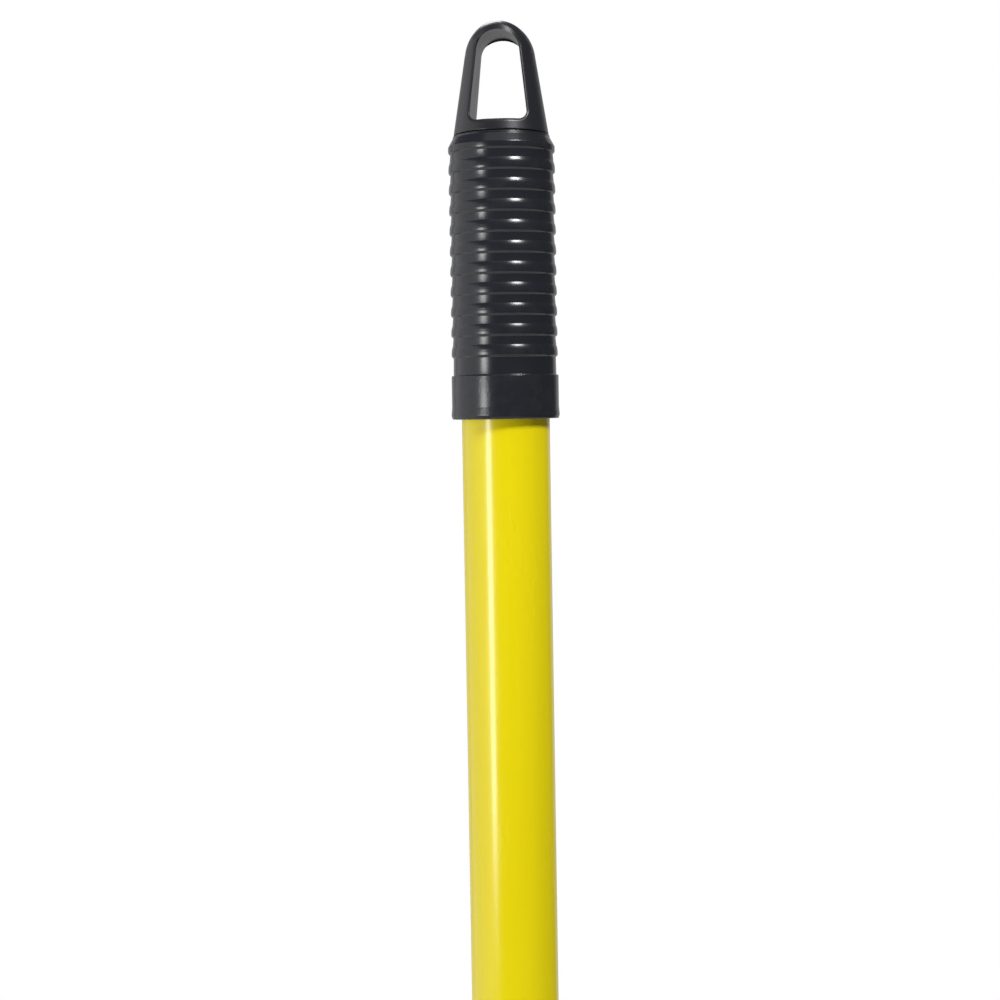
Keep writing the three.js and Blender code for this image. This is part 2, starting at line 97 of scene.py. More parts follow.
def soften(corners, closed=True):
    """Rounds the corners of an outline. A corner is (r, z) or (r, z, rounding), or a function of the
    turn, which passes through unchanged. A rounding takes less than half of the sides beside it."""
    steps, most_of_side = 5, 0.45
    points = []
    count = len(corners)
    for i, corner in enumerate(corners):
        rounding = 0 if callable(corner) or len(corner) < 3 else corner[2]
        before = corners[i - 1]
        after = corners[(i + 1) % count]
        at_end = not closed and i in (0, count - 1)
        if not rounding or at_end or callable(before) or callable(after):
            points.append(corner if callable(corner) else tuple(corner[:2]))
            continue
        here = Vector(corner[:2])
        back = Vector(before[:2]) - here
        forth = Vector(after[:2]) - here
        half_turn = (math.pi - back.angle(forth)) / 2
        shorter_side = min(back.length, forth.length)
        length = min(rounding * math.tan(half_turn), most_of_side * shorter_side)
        start = here + back.normalized() * length
        end = here + forth.normalized() * length
        for t in spread(0, 1, steps):
            bend = start * (1 - t) ** 2 + here * (2 * t * (1 - t)) + end * t**2
            points.append(tuple(bend))
    return points


# ---------------------------------------------------------------- meshes


def skin(name, grid, wrap, crease):
    """A mesh over a grid of points, grid[column][row], rows joined in a ring if wrap. The last column
    lies on the first and is welded to it."""
    bm = bmesh.new()
    columns = [[bm.verts.new(point) for point in column] for column in grid]
    rows = len(grid[0])
    for column, after in zip(columns, columns[1:]):
        for j in range(rows if wrap else rows - 1):
            k = (j + 1) % rows
            bm.faces.new((column[j], after[j], after[k], column[k]))
    return to_object(name, bm, crease)


def to_object(name, bm, crease):
    """Turns a bmesh in millimetres into an object in metres, smooth except at sharp corners."""
    bmesh.ops.remove_doubles(bm, verts=bm.verts, dist=2e-4)
    bmesh.ops.dissolve_degenerate(bm, edges=bm.edges, dist=1e-4)
    bmesh.ops.recalc_face_normals(bm, faces=bm.faces)
    bmesh.ops.scale(bm, vec=(MM, MM, MM), verts=bm.verts)
    mesh = bpy.data.meshes.new(name)
    bm.to_mesh(mesh)
    bm.free()
    obj = bpy.data.objects.new(name, mesh)
    bpy.context.collection.objects.link(obj)
    smooth(mesh, crease)
    return obj


def smooth(mesh, crease):
    """Smooth shading, except across edges sharper than crease degrees."""
    mesh.polygons.foreach_set("use_smooth", [True] * len(mesh.polygons))
    mesh.set_sharp_from_angle(angle=math.radians(crease))
    mesh.update()


def revolve(name, rows, segments=FINE, wrap=True, crease=CREASE):
    """A solid of revolution. A row is (r, z), or a function that gives it at a fraction of a turn.
    Turn 0 faces -Y and turns run towards +X."""
    grid = []
    for turn in spread(0, 1, segments):
        angle = 2 * math.pi * turn
        column = []
        for row in rows:
            r, z = row(turn) if callable(row) else row
            column.append((r * math.sin(angle), -r * math.cos(angle), z))
        grid.append(column)
    return skin(name, grid, wrap, crease)


def rod_along_x(name, radius, start, end, height):
    """A plain rod that crosses the pole at a height, from one x to another."""
    rod = revolve(name, [(0, start), (radius, start), (radius, end), (0, end)], segments=48, wrap=False)
    turn_to_x(rod, height)
    return rod


def turn_to_x(obj, height, side=1):
    """Lays a mesh made along Z on the +X or -X side of the pole, at a height."""
    lay = Matrix.Rotation(side * math.pi / 2, 4, "Y")
    obj.data.transform(Matrix.Translation((0, 0, height * MM)) @ lay)


def carve(obj, *tools):
    """Cuts the tools out of a mesh and removes them."""
    for tool in tools:
        cutter = obj.modifiers.new("cut", "BOOLEAN")
        cutter.operation = "DIFFERENCE"
        cutter.solver = "EXACT"
        cutter.object = tool
    graph = bpy.context.evaluated_depsgraph_get()
    mesh = bpy.data.meshes.new_from_object(obj.evaluated_get(graph))
    obj.modifiers.clear()
    mesh.name = obj.name
    obj.data = mesh
    for tool in tools:
        bpy.data.objects.remove(tool)
    smooth(mesh, CREASE)


# ---------------------------------------------------------------- threads and flutes


def thread_rows(start, end, pitch, root, crest, land, base, phase=0):
    """The rows of a right-hand thread, fading into the root at both ends. Land and base are the
    ridge's widths at its top and its foot, as fractions of the pitch. After one turn each row lies
    where the next turn's row began, so the thread runs on through the seam of the mesh."""
    flank = (base - land) / 2
    flank_steps = 5
    samples = [(flank * t, ease(t)) for t in spread(0, 1, flank_steps)]
    samples += [(flank + land + flank * t, 1 - ease(t)) for t in spread(0, 1, flank_steps)]
    fade = pitch / 3
    rows = []
    for count in range(-2, math.ceil((end - start) / pitch) + 2):
        for at, height in samples:

            def place(turn, offset=count + at + phase, height=height):
                z = min(max(start + (offset + turn) * pitch, start), end)
                strength = min(max(min(z - start, end - z) / fade, 0), 1)
                return root + (crest - root) * height * strength, z

            rows.append(place)
    return rows


def flute_rows(crest, depth, count, start, end, fade):
    """Shallow flutes that fade in and out along the pole."""
    fade_steps = 6
    rows = []
    heights = spread(start, start + fade, fade_steps) + spread(end - fade, end, fade_steps)
    for z in heights:
        strength = ease(min(z - start, end - z) / fade)

        def place(turn, z=z, strength=strength):
            scoop = (1 - math.cos(2 * math.pi * count * turn)) / 2
            return crest - depth * strength * scoop, z

        rows.append(place)
    return rows


# ---------------------------------------------------------------- finishes

# Nearly all of a noise lies between these values.
NOISE_LOW = 0.3
NOISE_HIGH = 0.7
# The Mix node's colour sockets, which share their names with its other kinds of socket.
MIX_FIRST_COLOUR = 6
MIX_SECOND_COLOUR = 7
MIX_COLOUR_RESULT = 2


class Finish:
    """A node material with one Principled shader, and the patterns that the finishes share.
    Pattern sizes are in millimetres and follow the object's own coordinates."""

    def __init__(self, name, colour, roughness, **constants):
        """Constants are values for other sockets of the shader, under their names in lower case."""
        self.material = bpy.data.materials.new(name)
        self.material.use_nodes = True
        self.nodes = self.material.node_tree.nodes
        self.links = self.material.node_tree.links
        self.shader = self.nodes["Principled BSDF"]
        self.shader.inputs["Base Color"].default_value = (*colour, 1)
        self.shader.inputs["Roughness"].default_value = roughness
        for socket, value in constants.items():
            self.shader.inputs[socket.replace("_", " ").title()].default_value = value
        self.colour = colour
        self.roughness = roughness
        self.colour_output = None
        self.normal_output = None
        self.rough_output = None
        self.place = self.nodes.new("ShaderNodeTexCoord").outputs["Object"]

    def noise(self, size, stretch=1, detail=3, seed=0):
        """Noise with features of about size, drawn out along the pole by stretch."""
        mapping = self.nodes.new("ShaderNodeMapping")
        mapping.inputs["Location"].default_value = (seed, seed, seed)
        mapping.inputs["Scale"].default_value = (1, 1, 1 / stretch)
        self.links.new(self.place, mapping.inputs["Vector"])
        noise = self.nodes.new("ShaderNodeTexNoise")
        noise.inputs["Scale"].default_value = 1 / (size * MM)
        noise.inputs["Detail"].default_value = detail
        self.links.new(mapping.outputs["Vector"], noise.inputs["Vector"])
        return noise.outputs[0]

    def patches(self, start, full, size, **options):
        """Soft patches: 0 where the noise is below start and 1 where it is above full."""
        return self.span(self.noise(size, **options), start, full, 0, 1)

    def specks(self, size, spacing, seed=0):
        """Round specks: 1 inside a speck and 0 elsewhere."""
        mapping = self.nodes.new("ShaderNodeMapping")
        mapping.inputs["Location"].default_value = (seed, seed, seed)
        self.links.new(self.place, mapping.inputs["Vector"])
        cells = self.nodes.new("ShaderNodeTexVoronoi")
        cells.inputs["Scale"].default_value = 1 / (spacing * MM)
        self.links.new(mapping.outputs["Vector"], cells.inputs["Vector"])
        edge = size / spacing
        return self.span(cells.outputs["Distance"], edge, edge / 2, 0, 1)

    def span(self, value, from_low, from_high, to_low, to_high):
        """Stretches one range of values to another and holds the ends."""
        node = self.nodes.new("ShaderNodeMapRange")
        self.links.new(value, node.inputs["Value"])
        node.inputs["From Min"].default_value = from_low
        node.inputs["From Max"].default_value = from_high
        node.inputs["To Min"].default_value = to_low
        node.inputs["To Max"].default_value = to_high
        return node.outputs["Result"]

    def times(self, a, b):
        """Two patterns multiplied."""
        node = self.nodes.new("ShaderNodeMath")
        node.operation = "MULTIPLY"
        self.links.new(a, node.inputs[0])
        self.links.new(b, node.inputs[1])
        return node.outputs[0]

    def below(self, height, blend):
        """1 under a height along the pole and 0 above it."""
        split = self.nodes.new("ShaderNodeSeparateXYZ")
        self.links.new(self.place, split.inputs[0])
        return self.span(split.outputs["Z"], (height + blend) * MM, height * MM, 0, 1)

    def beyond(self, radius, blend):
        """1 further than a radius from the pole's axis and 0 nearer."""
        split = self.nodes.new("ShaderNodeSeparateXYZ")
        self.links.new(self.place, split.inputs[0])
        flat = self.nodes.new("ShaderNodeCombineXYZ")
        self.links.new(split.outputs["X"], flat.inputs["X"])
        self.links.new(split.outputs["Y"], flat.inputs["Y"])
        length = self.nodes.new("ShaderNodeVectorMath")
        length.operation = "LENGTH"
        self.links.new(flat.outputs[0], length.inputs[0])
        return self.span(length.outputs["Value"], (radius - blend) * MM, radius * MM, 0, 1)

    def tint(self, mask, colour, amount):
        """Mixes a colour in where the mask is high."""
        mix = self.nodes.new("ShaderNodeMix")
        mix.data_type = "RGBA"
        if self.colour_output:
            self.links.new(self.colour_output, mix.inputs[MIX_FIRST_COLOUR])
        else:
            mix.inputs[MIX_FIRST_COLOUR].default_value = (*self.colour, 1)
        mix.inputs[MIX_SECOND_COLOUR].default_value = (*colour, 1)
        self.links.new(self.span(mask, 0, 1, 0, amount), mix.inputs["Factor"])
        self.colour_output = mix.outputs[MIX_COLOUR_RESULT]
        self.links.new(self.colour_output, self.shader.inputs["Base Color"])

    def polish(self, pattern, spread_by):
        """Varies the roughness by up to spread_by each way."""
        node = self.nodes.new("ShaderNodeMath")
        node.operation = "ADD"
        if self.rough_output:
            self.links.new(self.rough_output, node.inputs[0])
        else:
            node.inputs[0].default_value = self.roughness
        change = self.span(pattern, NOISE_LOW, NOISE_HIGH, -spread_by, spread_by)
        self.links.new(change, node.inputs[1])
        self.rough_output = node.outputs[0]
        self.links.new(self.rough_output, self.shader.inputs["Roughness"])

    def relief(self, pattern, height):
        """Raises the surface where the pattern is high, by up to height."""
        bump = self.nodes.new("ShaderNodeBump")
        bump.inputs["Strength"].default_value = 1
        bump.inputs["Distance"].default_value = height * MM
        self.links.new(pattern, bump.inputs["Height"])
        if self.normal_output:
            self.links.new(self.normal_output, bump.inputs["Normal"])
        self.normal_output = bump.outputs["Normal"]
        self.links.new(self.normal_output, self.shader.inputs["Normal"])


def tube_paint():
    """Glossy yellow powder coat on a drawn tube: orange peel, faint drawing lines and dust specks."""
    paint = Finish("tube_paint", (0.83, 0.69, 0.001), 0.24, coat_weight=0.2, coat_roughness=0.12)
    paint.tint(paint.patches(0.35, 0.7, 60, stretch=3), (0.77, 0.63, 0.001), 0.5)
    paint.tint(paint.patches(0.5, 0.75, 1.4, stretch=60, seed=3), (0.89, 0.76, 0.01), 0.16)
    paint.tint(paint.specks(0.12, 9), (0.45, 0.38, 0.05), 0.35)
    paint.polish(paint.noise(8, stretch=4, seed=5), 0.05)
    paint.relief(paint.noise(1.6, detail=2), 0.006)
    paint.relief(paint.noise(0.7, stretch=40, seed=2), 0.004)
    return paint.material


def moulded(name, colour, roughness, grain_size, grain_height, haze):
    """Moulded black plastic: a fine grain, flow marks along the pole, pale specks and a faint haze,
    whose colour is haze times the plastic's own."""
    plastic = Finish(name, colour, roughness)
    grey = tuple(haze * channel for channel in colour)
    plastic.tint(plastic.patches(0.4, 0.7, 14, stretch=3), grey, 0.4)
    plastic.tint(plastic.specks(0.16, 5, seed=2), (0.13, 0.13, 0.13), 0.35)
    plastic.polish(plastic.noise(6, stretch=2, seed=4), 0.03)
    plastic.relief(plastic.noise(grain_size, detail=4, seed=1), grain_height)
    plastic.relief(plastic.noise(9, stretch=2, detail=1, seed=6), 0.004)
    return plastic


def grip_plastic():
    """Glossy black sleeve with a grained band at its bottom and rib crests dulled by handling."""
    bottom = low("grip_sleeve")
    black = (0.0155, 0.0165, 0.0215)
    plastic = moulded("grip_plastic", black, 0.23, grain_size=0.5, grain_height=0.002, haze=1.15)
    band = plastic.below(bottom + BAND_HEIGHT, 0.3)
    plastic.relief(plastic.times(band, plastic.noise(0.6, detail=3, seed=9)), 0.03)
    crest = plastic.beyond(RIB_CREST, 0.15)
    worn = plastic.times(crest, plastic.patches(0.45, 0.65, 3, seed=7))
    plastic.tint(worn, (0.03, 0.03, 0.034), 0.3)
    return plastic.material


def loop_plastic():
    """The smooth black of the loop and its plug."""
    black = (0.0165, 0.017, 0.021)
    return moulded("loop_plastic", black, 0.34, grain_size=0.4, grain_height=0.003, haze=1.2).material


def lock_plastic():
    """The satin black of the lock's fixed half."""
    black = (0.018, 0.0185, 0.021)
    return moulded("lock_plastic", black, 0.36, grain_size=0.45, grain_height=0.006, haze=1.5).material


def collar_plastic():
    """Duller black, a little worn where the hand turns the collar."""
    black = (0.019, 0.0195, 0.022)
    plastic = moulded("collar_plastic", black, 0.4, grain_size=0.4, grain_height=0.008, haze=1.25)
    crest = plastic.beyond(reach("lock_collar"), 0.25)
    worn = plastic.times(crest, plastic.patches(0.45, 0.65, 2.5, seed=8))
    plastic.tint(worn, (0.034, 0.034, 0.037), 0.4)
    return plastic.material


def tip_plastic():
    """Black plastic, greyed by wear on the ferrule and the thread's crest."""
    black = (0.02, 0.0205, 0.022)
    plastic = moulded("tip_plastic", black, 0.38, grain_size=0.5, grain_height=0.006, haze=1.6)
    crest = plastic.beyond(reach("threaded_tip"), 0.2)
    plastic.tint(crest, (0.06, 0.06, 0.06), 0.35)
    return plastic.material


def zinced_steel():
    """Zinc-plated tube: drawing lines along the pole, faint clouding and a few rubbed scratches."""
    steel = Finish("inner_steel", (0.56, 0.57, 0.58), 0.32, metallic=1)
    steel.tint(steel.patches(0.4, 0.7, 22, stretch=2), (0.46, 0.465, 0.46), 0.6)
    steel.tint(steel.patches(0.55, 0.7, 0.35, stretch=120, seed=2), (0.4, 0.4, 0.4), 0.35)
    steel.polish(steel.noise(0.8, stretch=50, seed=3), 0.09)
    steel.relief(steel.noise(0.3, stretch=90, seed=4), 0.003)
    return steel.material


def pale_plastic(name, colour, roughness):
    """Natural nylon or acetal: milky, with a faint cloudiness and tool marks."""
    plastic = Finish(name, colour, roughness, subsurface_weight=0.05)
    warm = (colour[0], colour[1] * 0.96, colour[2] * 0.88)
    plastic.tint(plastic.patches(0.4, 0.7, 5), warm, 0.6)
    plastic.polish(plastic.noise(2, seed=3), 0.06)
    plastic.relief(plastic.noise(0.3, stretch=0.2, seed=5), 0.004)
    return plastic.material


def wiper_rubber():
    """Matt black rubber with dusty patches."""
    rubber = Finish("wiper_rubber", (0.014, 0.014, 0.015), 0.75)
    rubber.tint(rubber.patches(0.5, 0.7, 1.5), (0.05, 0.05, 0.048), 0.5)
    rubber.polish(rubber.noise(1, seed=2), 0.08)
    rubber.relief(rubber.noise(0.25, seed=4), 0.01)
    return rubber.material


def bright_metal(name, colour, roughness):
    """Turned or pressed bright metal, with fine round tool marks and small handling dents."""
    metal = Finish(name, colour, roughness, metallic=1)
    dull = tuple(0.75 * channel for channel in colour)
    metal.tint(metal.patches(0.45, 0.7, 1.8), dull, 0.6)
    metal.polish(metal.noise(0.6, seed=3), 0.1)
    metal.relief(metal.noise(0.25, stretch=0.15, seed=5), 0.004)
    metal.relief(metal.noise(1.5, seed=6), 0.012)
    return metal.material


# ---------------------------------------------------------------- hanging loop

# How much the cone that the loop is cut from narrows for each millimetre up.
LOOP_TAPER = math.tan(math.radians(9.07))
CROWN_RADIUS = 9.95
CROWN_ROUNDING = 2.9
# The slope of the loop's legs, where its outline leaves the crown's arc.
ARCH_LEAN = math.radians(14)
HOLE_ARCH_RADIUS = 6
HOLE_CORNER_RADIUS = 2.2
HOLE_CORNER_OFFSET = 5.75
FRONT_HOLE_ROUNDING = 0.9
BACK_HOLE_ROUNDING = 0.12
BASE_ROUNDING = 0.25
SPIGOT_LENGTH = 28
# Points this near the loop's base count as lying on it.
AT_BASE = 1e-3

loop_base = high("grip_sleeve") + CLEARANCE
loop_top = high("hanger_cap")
loop_base_radius = reach("hanger_cap")
crown_centre = loop_top - CROWN_RADIUS
hole_bottom = loop_base + 3.1
hole_arch_centre = loop_base + 22.6
hole_corner_centre = hole_bottom + HOLE_CORNER_RADIUS
hole_middle = loop_base + 13


def hole_lean():
    """The lean of the hole's legs, which touch both the arch and the bottom corners."""
    rise = hole_arch_centre - hole_corner_centre
    apart = math.hypot(HOLE_CORNER_OFFSET, rise)
    narrowing = HOLE_ARCH_RADIUS - HOLE_CORNER_RADIUS
    return math.acos(narrowing / apart) - math.atan2(rise, HOLE_CORNER_OFFSET)


HOLE_LEAN = hole_lean()


def under_arch(x, z, centre, radius, lean):
    """Inside an arch with straight legs that lean outwards, seen along the hole."""
    rise = z - centre
    if math.atan2(rise, abs(x)) > lean:
        return math.hypot(x, rise) <= radius
    return abs(x) * math.cos(lean) + rise * math.sin(lean) <= radius


def in_hole(x, z):
    """Inside the hole: an arch on two leaning legs, with round corners at its foot."""
    if z < hole_bottom or not under_arch(x, z, hole_arch_centre, HOLE_ARCH_RADIUS, HOLE_LEAN):
        return False
    out, down = abs(x) - HOLE_CORNER_OFFSET, z - hole_corner_centre
    in_corner = out > 0 and math.atan2(down, out) < HOLE_LEAN
    return not in_corner or math.hypot(out, down) <= HOLE_CORNER_RADIUS


def cone_radius(z):
    """The radius of the cone that the loop is cut from."""
    return loop_base_radius - LOOP_TAPER * (z - loop_base)


def in_loop(x, z):
    """Inside the loop's outline, seen along the hole."""
    in_cone = z >= loop_base and abs(x) <= cone_radius(z)
    return in_cone and under_arch(x, z, crown_centre, CROWN_RADIUS, ARCH_LEAN)


def face_depth(point):
    """How far the cone's surface stands in front of the pole's axis."""
    return math.sqrt(max(cone_radius(point.y) ** 2 - point.x**2, 0))


def edge_along(direction, centre, inside):
    """Where a line from the centre leaves an outline."""
    near, far, precision = 0, 2 * loop_base_radius, 1e-6
    while far - near > precision:
        middle = (near + far) / 2
        x, z = centre + direction * middle
        if inside(x, z):
            near = middle
        else:
            far = middle
    return centre + direction * near


def loop_directions(centre):
    """Directions from the centre round the loop, to points spaced evenly round its base circle and
    then evenly over the arch."""
    base_steps = 46
    arch_steps = 190
    angles = spread(-math.pi / 2, math.pi / 2, base_steps)
    base_points = [Vector((loop_base_radius * math.sin(a), loop_base)) for a in angles]
    right = base_points[-1] - centre
    left = base_points[0] - centre
    start = math.atan2(right.y, right.x)
    end = math.atan2(left.y, left.x) + 2 * math.pi
    directions = [(point - centre).normalized() for point in base_points]
    over = spread(start, end, arch_steps)[1:-1]
    return directions + [Vector((math.cos(a), math.sin(a))) for a in over]


def outward(point):
    """The direction that the loop's rim faces at a point of its outline."""
    if point.y < loop_base + AT_BASE:
        return Vector((0, -1))
    rise = point.y - crown_centre
    facing = max(math.atan2(rise, abs(point.x)), ARCH_LEAN)
    return Vector((math.copysign(math.cos(facing), point.x), math.sin(facing)))


def loop_column(hole, hole_normal, rim, hole_rounding):
    """Points from the middle of the hole's wall, round the front face, to the middle of the rim."""
    column = []
    wall_steps, edge_steps, face_steps = 4, 6, 20
    for t in spread(0, 1, wall_steps)[:-1]:
        column.append((hole.x, -t * (face_depth(hole) - hole_rounding), hole.y))
    for angle in spread(0, math.pi / 2, edge_steps):
        point = hole + hole_normal * hole_rounding * (1 - math.cos(angle))
        depth = face_depth(point) - hole_rounding * (1 - math.sin(angle))
        column.append((point.x, -depth, point.y))
    at_base = rim.y < loop_base + AT_BASE
    rounding = min(BASE_ROUNDING if at_base else CROWN_ROUNDING, face_depth(rim) / 2)
    start = point
    end = rim - outward(rim) * rounding
    start_turn = math.asin(start.x / cone_radius(start.y))
    end_turn = math.asin(max(-1, min(1, end.x / cone_radius(end.y))))
    for t in spread(0, 1, face_steps)[1:-1]:
        z = start.y + (end.y - start.y) * t
        turn = start_turn + (end_turn - start_turn) * t
        column.append((cone_radius(z) * math.sin(turn), -cone_radius(z) * math.cos(turn), z))
    for angle in spread(math.pi / 2, 0, edge_steps + 2):
        point = rim - outward(rim) * rounding * (1 - math.cos(angle))
        depth = face_depth(point) - rounding * (1 - math.sin(angle))
        column.append((point.x, -max(depth, 0), point.y))
    rim_depth = face_depth(rim) - rounding
    for t in spread(1, 0, wall_steps)[1:]:
        column.append((rim.x, -t * rim_depth, rim.y))
    return column


def hanging_loop():
    """The loop: columns of points that run round it from the hole to the rim, front and back."""
    centre = Vector((0, hole_middle))
    directions = loop_directions(centre)
    holes = [edge_along(direction, centre, in_hole) for direction in directions]
    rims = [edge_along(direction, centre, in_loop) for direction in directions]
    grid = []
    for i, (hole, rim) in enumerate(zip(holes, rims)):
        along = holes[(i + 1) % len(holes)] - holes[i - 1]
        hole_normal = Vector((along.y, -along.x)).normalized()
        front = loop_column(hole, hole_normal, rim, FRONT_HOLE_ROUNDING)
        mirrored = loop_column(hole, hole_normal, rim, BACK_HOLE_ROUNDING)
        back = [(x, -y, z) for x, y, z in mirrored[-2:0:-1]]
        grid.append(front + back)
    return skin("hanging_loop", [*grid, grid[0]], wrap=True, crease=40)


def loop_spigot():
    """The hollow barbed plug that holds the loop in the outer tube."""
    bore, outer = 9.2, inner_reach("outer_tube") - CLEARANCE
    bottom = loop_base - SPIGOT_LENGTH
    barb_height, barb_length, barb_pitch = 0.15, 2, 6
    barbs = []
    for barb in range(3):
        foot = bottom + 4 + barb_pitch * barb
        crest = foot + barb_length
        barbs += [(outer, foot), (outer + barb_height, crest), (outer, crest + barb_height)]
    into_loop, end_wall = 0.1, 2
    corners = [
        (bore, bottom, 0.3),
        (outer - 0.8, bottom, 0.5),
        (outer, bottom + 2, 0.5),
        *barbs,
        (outer, loop_base + into_loop),
        (0, loop_base + into_loop),
        (0, loop_base - end_wall),
        (bore, loop_base - end_wall, 0.8),
    ]
    return revolve("loop_spigot", soften(corners), COARSE)


# ---------------------------------------------------------------- grip and tubes

BAND_HEIGHT = 12.3
RIB_CREST = 15.08
RIB_VALLEY = 14.6
# How much nearer the axis a groove is at its top than at its middle.
GROOVE_LEAN = 0.08


def rib_rows(centre):
    """A rib seen in profile: a short eased flank below, a crowned land, and a long flank above that
    steepens down to the groove. The groove leans a little, so it is widest at its bottom."""
    land, lower_flank, upper_flank, steepening = 1.1, 0.8, 1.7, 1.9
    crowning, groove_run = 0.03, 0.08
    edge = RIB_CREST - crowning
    groove_top, groove_bottom = RIB_VALLEY - GROOVE_LEAN, RIB_VALLEY + GROOVE_LEAN
    foot = centre - land / 2 - lower_flank
    shoulder = centre + land / 2
    rows = [
        (groove_top + (edge - groove_top) * ease(t), foot + lower_flank * t)
        for t in spread(0, 1, 8)
    ]
    rows += [
        (edge + (RIB_CREST - edge) * (1 - t**2), centre + land / 2 * t)
        for t in spread(-1, 1, 8)[1:-1]
    ]
    rows += [
        (edge - (edge - groove_bottom) * t**steepening, shoulder + upper_flank * t)
        for t in spread(0, 1, 10)
    ]
    return rows + [(groove_bottom, shoulder + upper_flank + groove_run)]


def grip_sleeve():
    """The ribbed sleeve: a grained band with a bead at its bottom, eleven ribs and a shoulder."""
    bottom, seam = low("grip_sleeve"), high("grip_sleeve")
    bore = reach("outer_tube") + CLEARANCE
    bead = reach("grip_sleeve")
    band, neck = 15.2, 13.75
    band_top = bottom + BAND_HEIGHT
    rib_count, rib_pitch, first_rib = 11, 5.73, bottom + 18.5
    centres = [first_rib + rib * rib_pitch for rib in range(rib_count)]
    *ribs, top_rib = [rib_rows(centre) for centre in centres]
    lower_half = [row for row in top_rib if row[1] <= centres[-1]]
    corners = [
        (bore, bottom, 0.4),
        (bead - 0.3, bottom, 0.5),
        (bead, bottom + 1.1, 0.8),
        (band, bottom + 3.4, 1.5),
        (band, band_top, 0.5),
        (RIB_VALLEY, band_top + 0.1, 0.2),
        *[row for rib in ribs for row in rib],
        *lower_half,
        (RIB_CREST, centres[-1] + 0.8, 0.9),
        (neck, seam - 0.7, 0.5),
        (neck - 0.1, seam, 0.2),
        (bore, seam, 0.3),
    ]
    return revolve("ribbed_grip", soften(corners), crease=50)


def plain_tube(name, node):
    """A tube with its edges just broken, the size of a CAD node."""
    bore, outer = inner_reach(node), reach(node)
    bottom, top = low(node), high(node)
    edge = 0.15
    corners = [(bore, bottom, edge), (outer, bottom, edge), (outer, top, edge), (bore, top, edge)]
    return revolve(name, soften(corners))


# ---------------------------------------------------------------- twist lock

RIVET_HOLE = 1.95
RIVET_SEAT = 3.4
LOCK_PITCH = 4
FLUTES = 12
# A distance from the axis that lies outside every piece.
OUTSIDE = 20


def rivet(name, node, side):
    """A blind rivet: domed head with the dimple that its mandrel leaves."""
    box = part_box(node)
    inner_end, dome = sorted((abs(box[0].x) / MM, abs(box[1].x) / MM))
    head_radius = (box[1].z - box[0].z) / MM / 2
    shank, head_height, dimple = 1.6, 0.9, 0.75
    seat = dome - head_height
    corners = [
        (0, inner_end),
        (shank, inner_end, 0.2),
        (shank, seat),
        (head_radius, seat, 0.1),
        (head_radius, seat + 0.25, 0.2),
        (head_radius * 0.75, dome - 0.18, 0.8),
        (dimple + 0.35, dome, 0.3),
        (dimple, dome - 0.05, 0.15),
        (dimple - 0.1, dome - 0.45, 0.1),
        (0, dome - 0.4),
    ]
    made = revolve(name, soften(corners, closed=False), segments=64, wrap=False)
    turn_to_x(made, middle_height(node), side)
    return made


def rivet_drill(height):
    return rod_along_x("drill", RIVET_HOLE, -OUTSIDE, OUTSIDE, height)


def cut_rivet_seats(obj, height, seat_distance):
    """The rivet hole, and a flat round seat on each side for the heads."""
    right_seat = rod_along_x("seat", RIVET_SEAT, seat_distance, OUTSIDE, height)
    left_seat = rod_along_x("seat", RIVET_SEAT, -OUTSIDE, -seat_distance, height)
    carve(obj, rivet_drill(height), right_seat, left_seat)


def lock_sleeve():
    """The lock's fixed half: a threaded neck inside the collar, a flange and a tapered sleeve."""
    bottom, top, flange = low("lock_body"), high("lock_body"), reach("lock_body")
    flange_gap, flange_height = 0.6, 3
    flange_bottom = high("lock_collar") + flange_gap
    flange_top = flange_bottom + flange_height
    tube_seat = low("outer_tube") - CLEARANCE
    bore = reach("outer_tube") + CLEARANCE
    root, crest, neck = 14, 14.9, 13.9
    stop_bottom, stop_top = bottom + 16.1, bottom + 17.7
    sleeve, sleeve_top = 14.8, 13.9
    cone_mouth, cone_end, cone_top = 12.95, 12, bottom + 14
    web = inner_reach("lock_body")
    thread = thread_rows(bottom + 1.5, bottom + 12.5, LOCK_PITCH, root, crest, land=0.25, base=0.475)
    corners = [
        (cone_mouth, bottom, 0.3),
        (root - 0.4, bottom, 0.3),
        (root, bottom + 0.6, 0.2),
        *thread,
        (root, stop_bottom - 0.6, 0.3),
        (crest, stop_bottom, 0.3),
        (crest, stop_top, 0.2),
        (neck, stop_top, 0.2),
        (neck, flange_bottom, 0.4),
        (flange, flange_bottom, 0.4),
        (flange, flange_top, 0.9),
        (sleeve, flange_top, 0.8),
        (sleeve_top, top, 0.8),
        (bore, top, 0.3),
        (bore, tube_seat),
        (web, tube_seat),
        (web, cone_top),
        (cone_end, cone_top, 0.3),
    ]
    made = revolve("lock_sleeve", soften(corners))
    cut_rivet_seats(made, middle_height("lock_rivet_left"), seat_distance=13.85)
    return made


